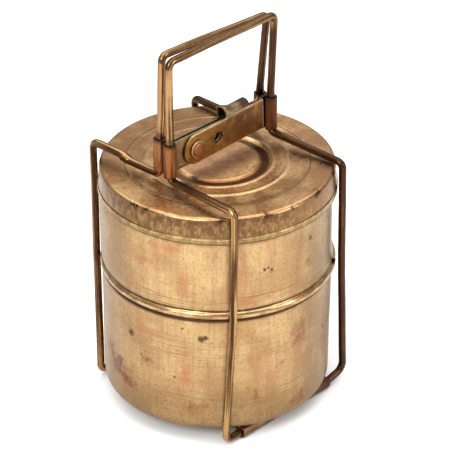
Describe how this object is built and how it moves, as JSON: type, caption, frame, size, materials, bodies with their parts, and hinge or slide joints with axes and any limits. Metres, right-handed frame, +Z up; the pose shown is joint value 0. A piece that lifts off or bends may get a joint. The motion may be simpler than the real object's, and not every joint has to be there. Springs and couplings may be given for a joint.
{
  "type": "tiffin carrier",
  "caption": "Round brass tiffin carrier: stacked bowls with a ringed lid, held between hinged bent-rod half-frames that form the handle and lock over the lid with a hooked latch lever.",
  "frame": {"origin": "middle of the base plate's footprint, on the surface that the carrier stands on", "axes": "+Z up; +X along the handle and the cross plates; -Y towards the latch lever's side"},
  "size_m": [0.1304, 0.1304, 0.2195],
  "materials": {
    "bowl_brass": "spun brass, worn and lightly tarnished, satin",
    "lid_brass": "tarnished brown brass, semi-gloss",
    "rod_brass": "dark tarnished rod with rubbed bright lines",
    "plate_brass": "dark tarnished sheet",
    "lever_brass": "ochre-brown tarnished sheet",
    "rivet_copper": "dull red copper"
  },
  "bodies": {
    "base": {"base_plate": "plate_brass"},
    "lower_bowl": {"lower_bowl": "bowl_brass"},
    "upper_bowl": {"upper_bowl": "bowl_brass"},
    "lid": {"lid": "lid_brass"},
    "front_frame": {"front_frame_rod": "rod_brass", "front_cross_plate": "plate_brass", "latch_rivet": "rivet_copper", "rivet_washer": "plate_brass"},
    "rear_frame": {"rear_frame_rod": "rod_brass", "rear_cross_plate": "plate_brass"},
    "latch": {"latch_lever": "lever_brass"}
  },
  "joints": [
    {"name": "front_frame_open", "type": "hinge", "parent": "base", "child": "front_frame", "pos_m": [0, -0.0486, 0.0035], "axis": [1, 0, 0], "range_deg": [0, 86]},
    {"name": "rear_frame_open", "type": "hinge", "parent": "base", "child": "rear_frame", "pos_m": [0, 0.0507, 0.0035], "axis": [-1, 0, 0], "range_deg": [0, 86]},
    {"name": "latch_lift", "type": "hinge", "parent": "front_frame", "child": "latch", "pos_m": [-0.019, -0.003, 0.1581], "axis": [0, -1, 0], "range_deg": [0, 88]},
    {"name": "lower_bowl_lift", "type": "slide", "parent": "base", "child": "lower_bowl", "axis": [0, 0, 1], "range_m": [0, 0.0031]},
    {"name": "upper_bowl_lift", "type": "slide", "parent": "base", "child": "upper_bowl", "axis": [0, 0, 1], "range_m": [0, 0.0098]},
    {"name": "lid_lift", "type": "slide", "parent": "base", "child": "lid", "axis": [0, 0, 1], "range_m": [0, 0.0248]}
  ],
  "couplings": [
    {"joint": "rear_frame_open", "follows": "front_frame_open", "ratio": 1},
    {"joint": "lower_bowl_lift", "follows": "front_frame_open", "m_per_rad": 0.002},
    {"joint": "upper_bowl_lift", "follows": "front_frame_open", "m_per_rad": 0.0065},
    {"joint": "lid_lift", "follows": "front_frame_open", "m_per_rad": 0.0165}
  ]
}
